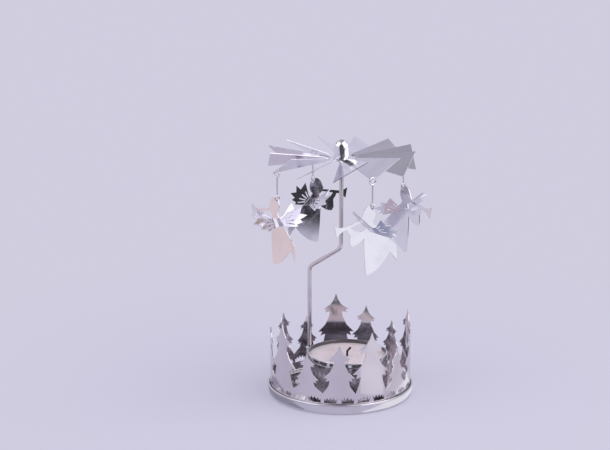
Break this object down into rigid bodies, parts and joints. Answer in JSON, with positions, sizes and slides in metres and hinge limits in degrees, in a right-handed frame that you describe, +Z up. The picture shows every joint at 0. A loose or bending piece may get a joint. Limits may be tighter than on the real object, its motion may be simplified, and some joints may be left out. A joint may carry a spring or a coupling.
{
  "type": "candle carousel",
  "caption": "Candle carousel: a tealight in a round tray ringed by cut-out fir trees turns a fan wheel that carries hanging trumpet-blowing angels.",
  "frame": {"origin": "middle of the underside of the tray", "axes": "+Z up along the fan's spin axis, -Y toward the viewer of the picture"},
  "size_m": [0.0844, 0.0844, 0.1228],
  "materials": {
    "sheet_steel": "polished, bright plated sheet",
    "angel_steel": "polished, bright plated sheet",
    "rod_steel": "polished drawn wire",
    "wire_steel": "polished thin wire",
    "cap_chrome": "mirror plated",
    "bearing_brass": "turned",
    "tin_plate": "tin plated",
    "tealight_aluminium": "thin drawn foil",
    "wax": "smooth paraffin wax",
    "wick": "braided cotton, burnt at the end"
  },
  "bodies": {
    "stand": {"base_tray": "sheet_steel", "tree_screen": "sheet_steel", "candle_cup": "sheet_steel", "support_rod": "rod_steel"},
    "tealight": {"tealight_cup": "tealight_aluminium", "tealight_wax": "wax", "wick": "wick", "wick_sustainer": "tin_plate"},
    "spinner": {"fan": "sheet_steel", "hub_cap": "cap_chrome", "pivot_bearing": "bearing_brass", "hub_eyelet": "bearing_brass"},
    "hanger_1": {"hanger_1": "wire_steel"},
    "angel_1": {"angel_body_1": "angel_steel", "angel_wings_1": "angel_steel"},
    "hanger_2": {"hanger_2": "wire_steel"},
    "angel_2": {"angel_body_2": "angel_steel", "angel_wings_2": "angel_steel"},
    "hanger_3": {"hanger_3": "wire_steel"},
    "angel_3": {"angel_body_3": "angel_steel", "angel_wings_3": "angel_steel"},
    "hanger_4": {"hanger_4": "wire_steel"},
    "angel_4": {"angel_body_4": "angel_steel", "angel_wings_4": "angel_steel"}
  },
  "joints": [
    {"name": "fan_spin", "type": "hinge", "parent": "stand", "child": "spinner", "pos_m": [0, 0, 0.1177], "axis": [0, 0, 1], "continuous": true},
    {"name": "tealight_lift", "type": "slide", "parent": "stand", "child": "tealight", "axis": [0, 0, 1], "range_m": [0, 0.036]},
    {"name": "hanger_1_swing", "type": "hinge", "parent": "spinner", "child": "hanger_1", "pos_m": [0.01394, -0.02943, 0.10911], "axis": [0.5998, -0.8002, 0], "range_deg": [-25, 25]},
    {"name": "angel_1_swing", "type": "hinge", "parent": "hanger_1", "child": "angel_1", "pos_m": [0.01394, -0.02943, 0.09771], "axis": [0.8002, 0.5998, 0], "range_deg": [-25, 25]},
    {"name": "hanger_2_swing", "type": "hinge", "parent": "spinner", "child": "hanger_2", "pos_m": [0.02943, 0.01394, 0.10911], "axis": [0.8002, 0.5998, 0], "range_deg": [-25, 25]},
    {"name": "angel_2_swing", "type": "hinge", "parent": "hanger_2", "child": "angel_2", "pos_m": [0.02943, 0.01394, 0.09771], "axis": [-0.5998, 0.8002, 0], "range_deg": [-25, 25]},
    {"name": "hanger_3_swing", "type": "hinge", "parent": "spinner", "child": "hanger_3", "pos_m": [-0.01394, 0.02943, 0.10911], "axis": [-0.5998, 0.8002, 0], "range_deg": [-25, 25]},
    {"name": "angel_3_swing", "type": "hinge", "parent": "hanger_3", "child": "angel_3", "pos_m": [-0.01394, 0.02943, 0.09771], "axis": [-0.8002, -0.5998, 0], "range_deg": [-25, 25]},
    {"name": "hanger_4_swing", "type": "hinge", "parent": "spinner", "child": "hanger_4", "pos_m": [-0.02943, -0.01394, 0.10911], "axis": [-0.8002, -0.5998, 0], "range_deg": [-25, 25]},
    {"name": "angel_4_swing", "type": "hinge", "parent": "hanger_4", "child": "angel_4", "pos_m": [-0.02943, -0.01394, 0.09771], "axis": [0.5998, -0.8002, 0], "range_deg": [-25, 25]}
  ]
}
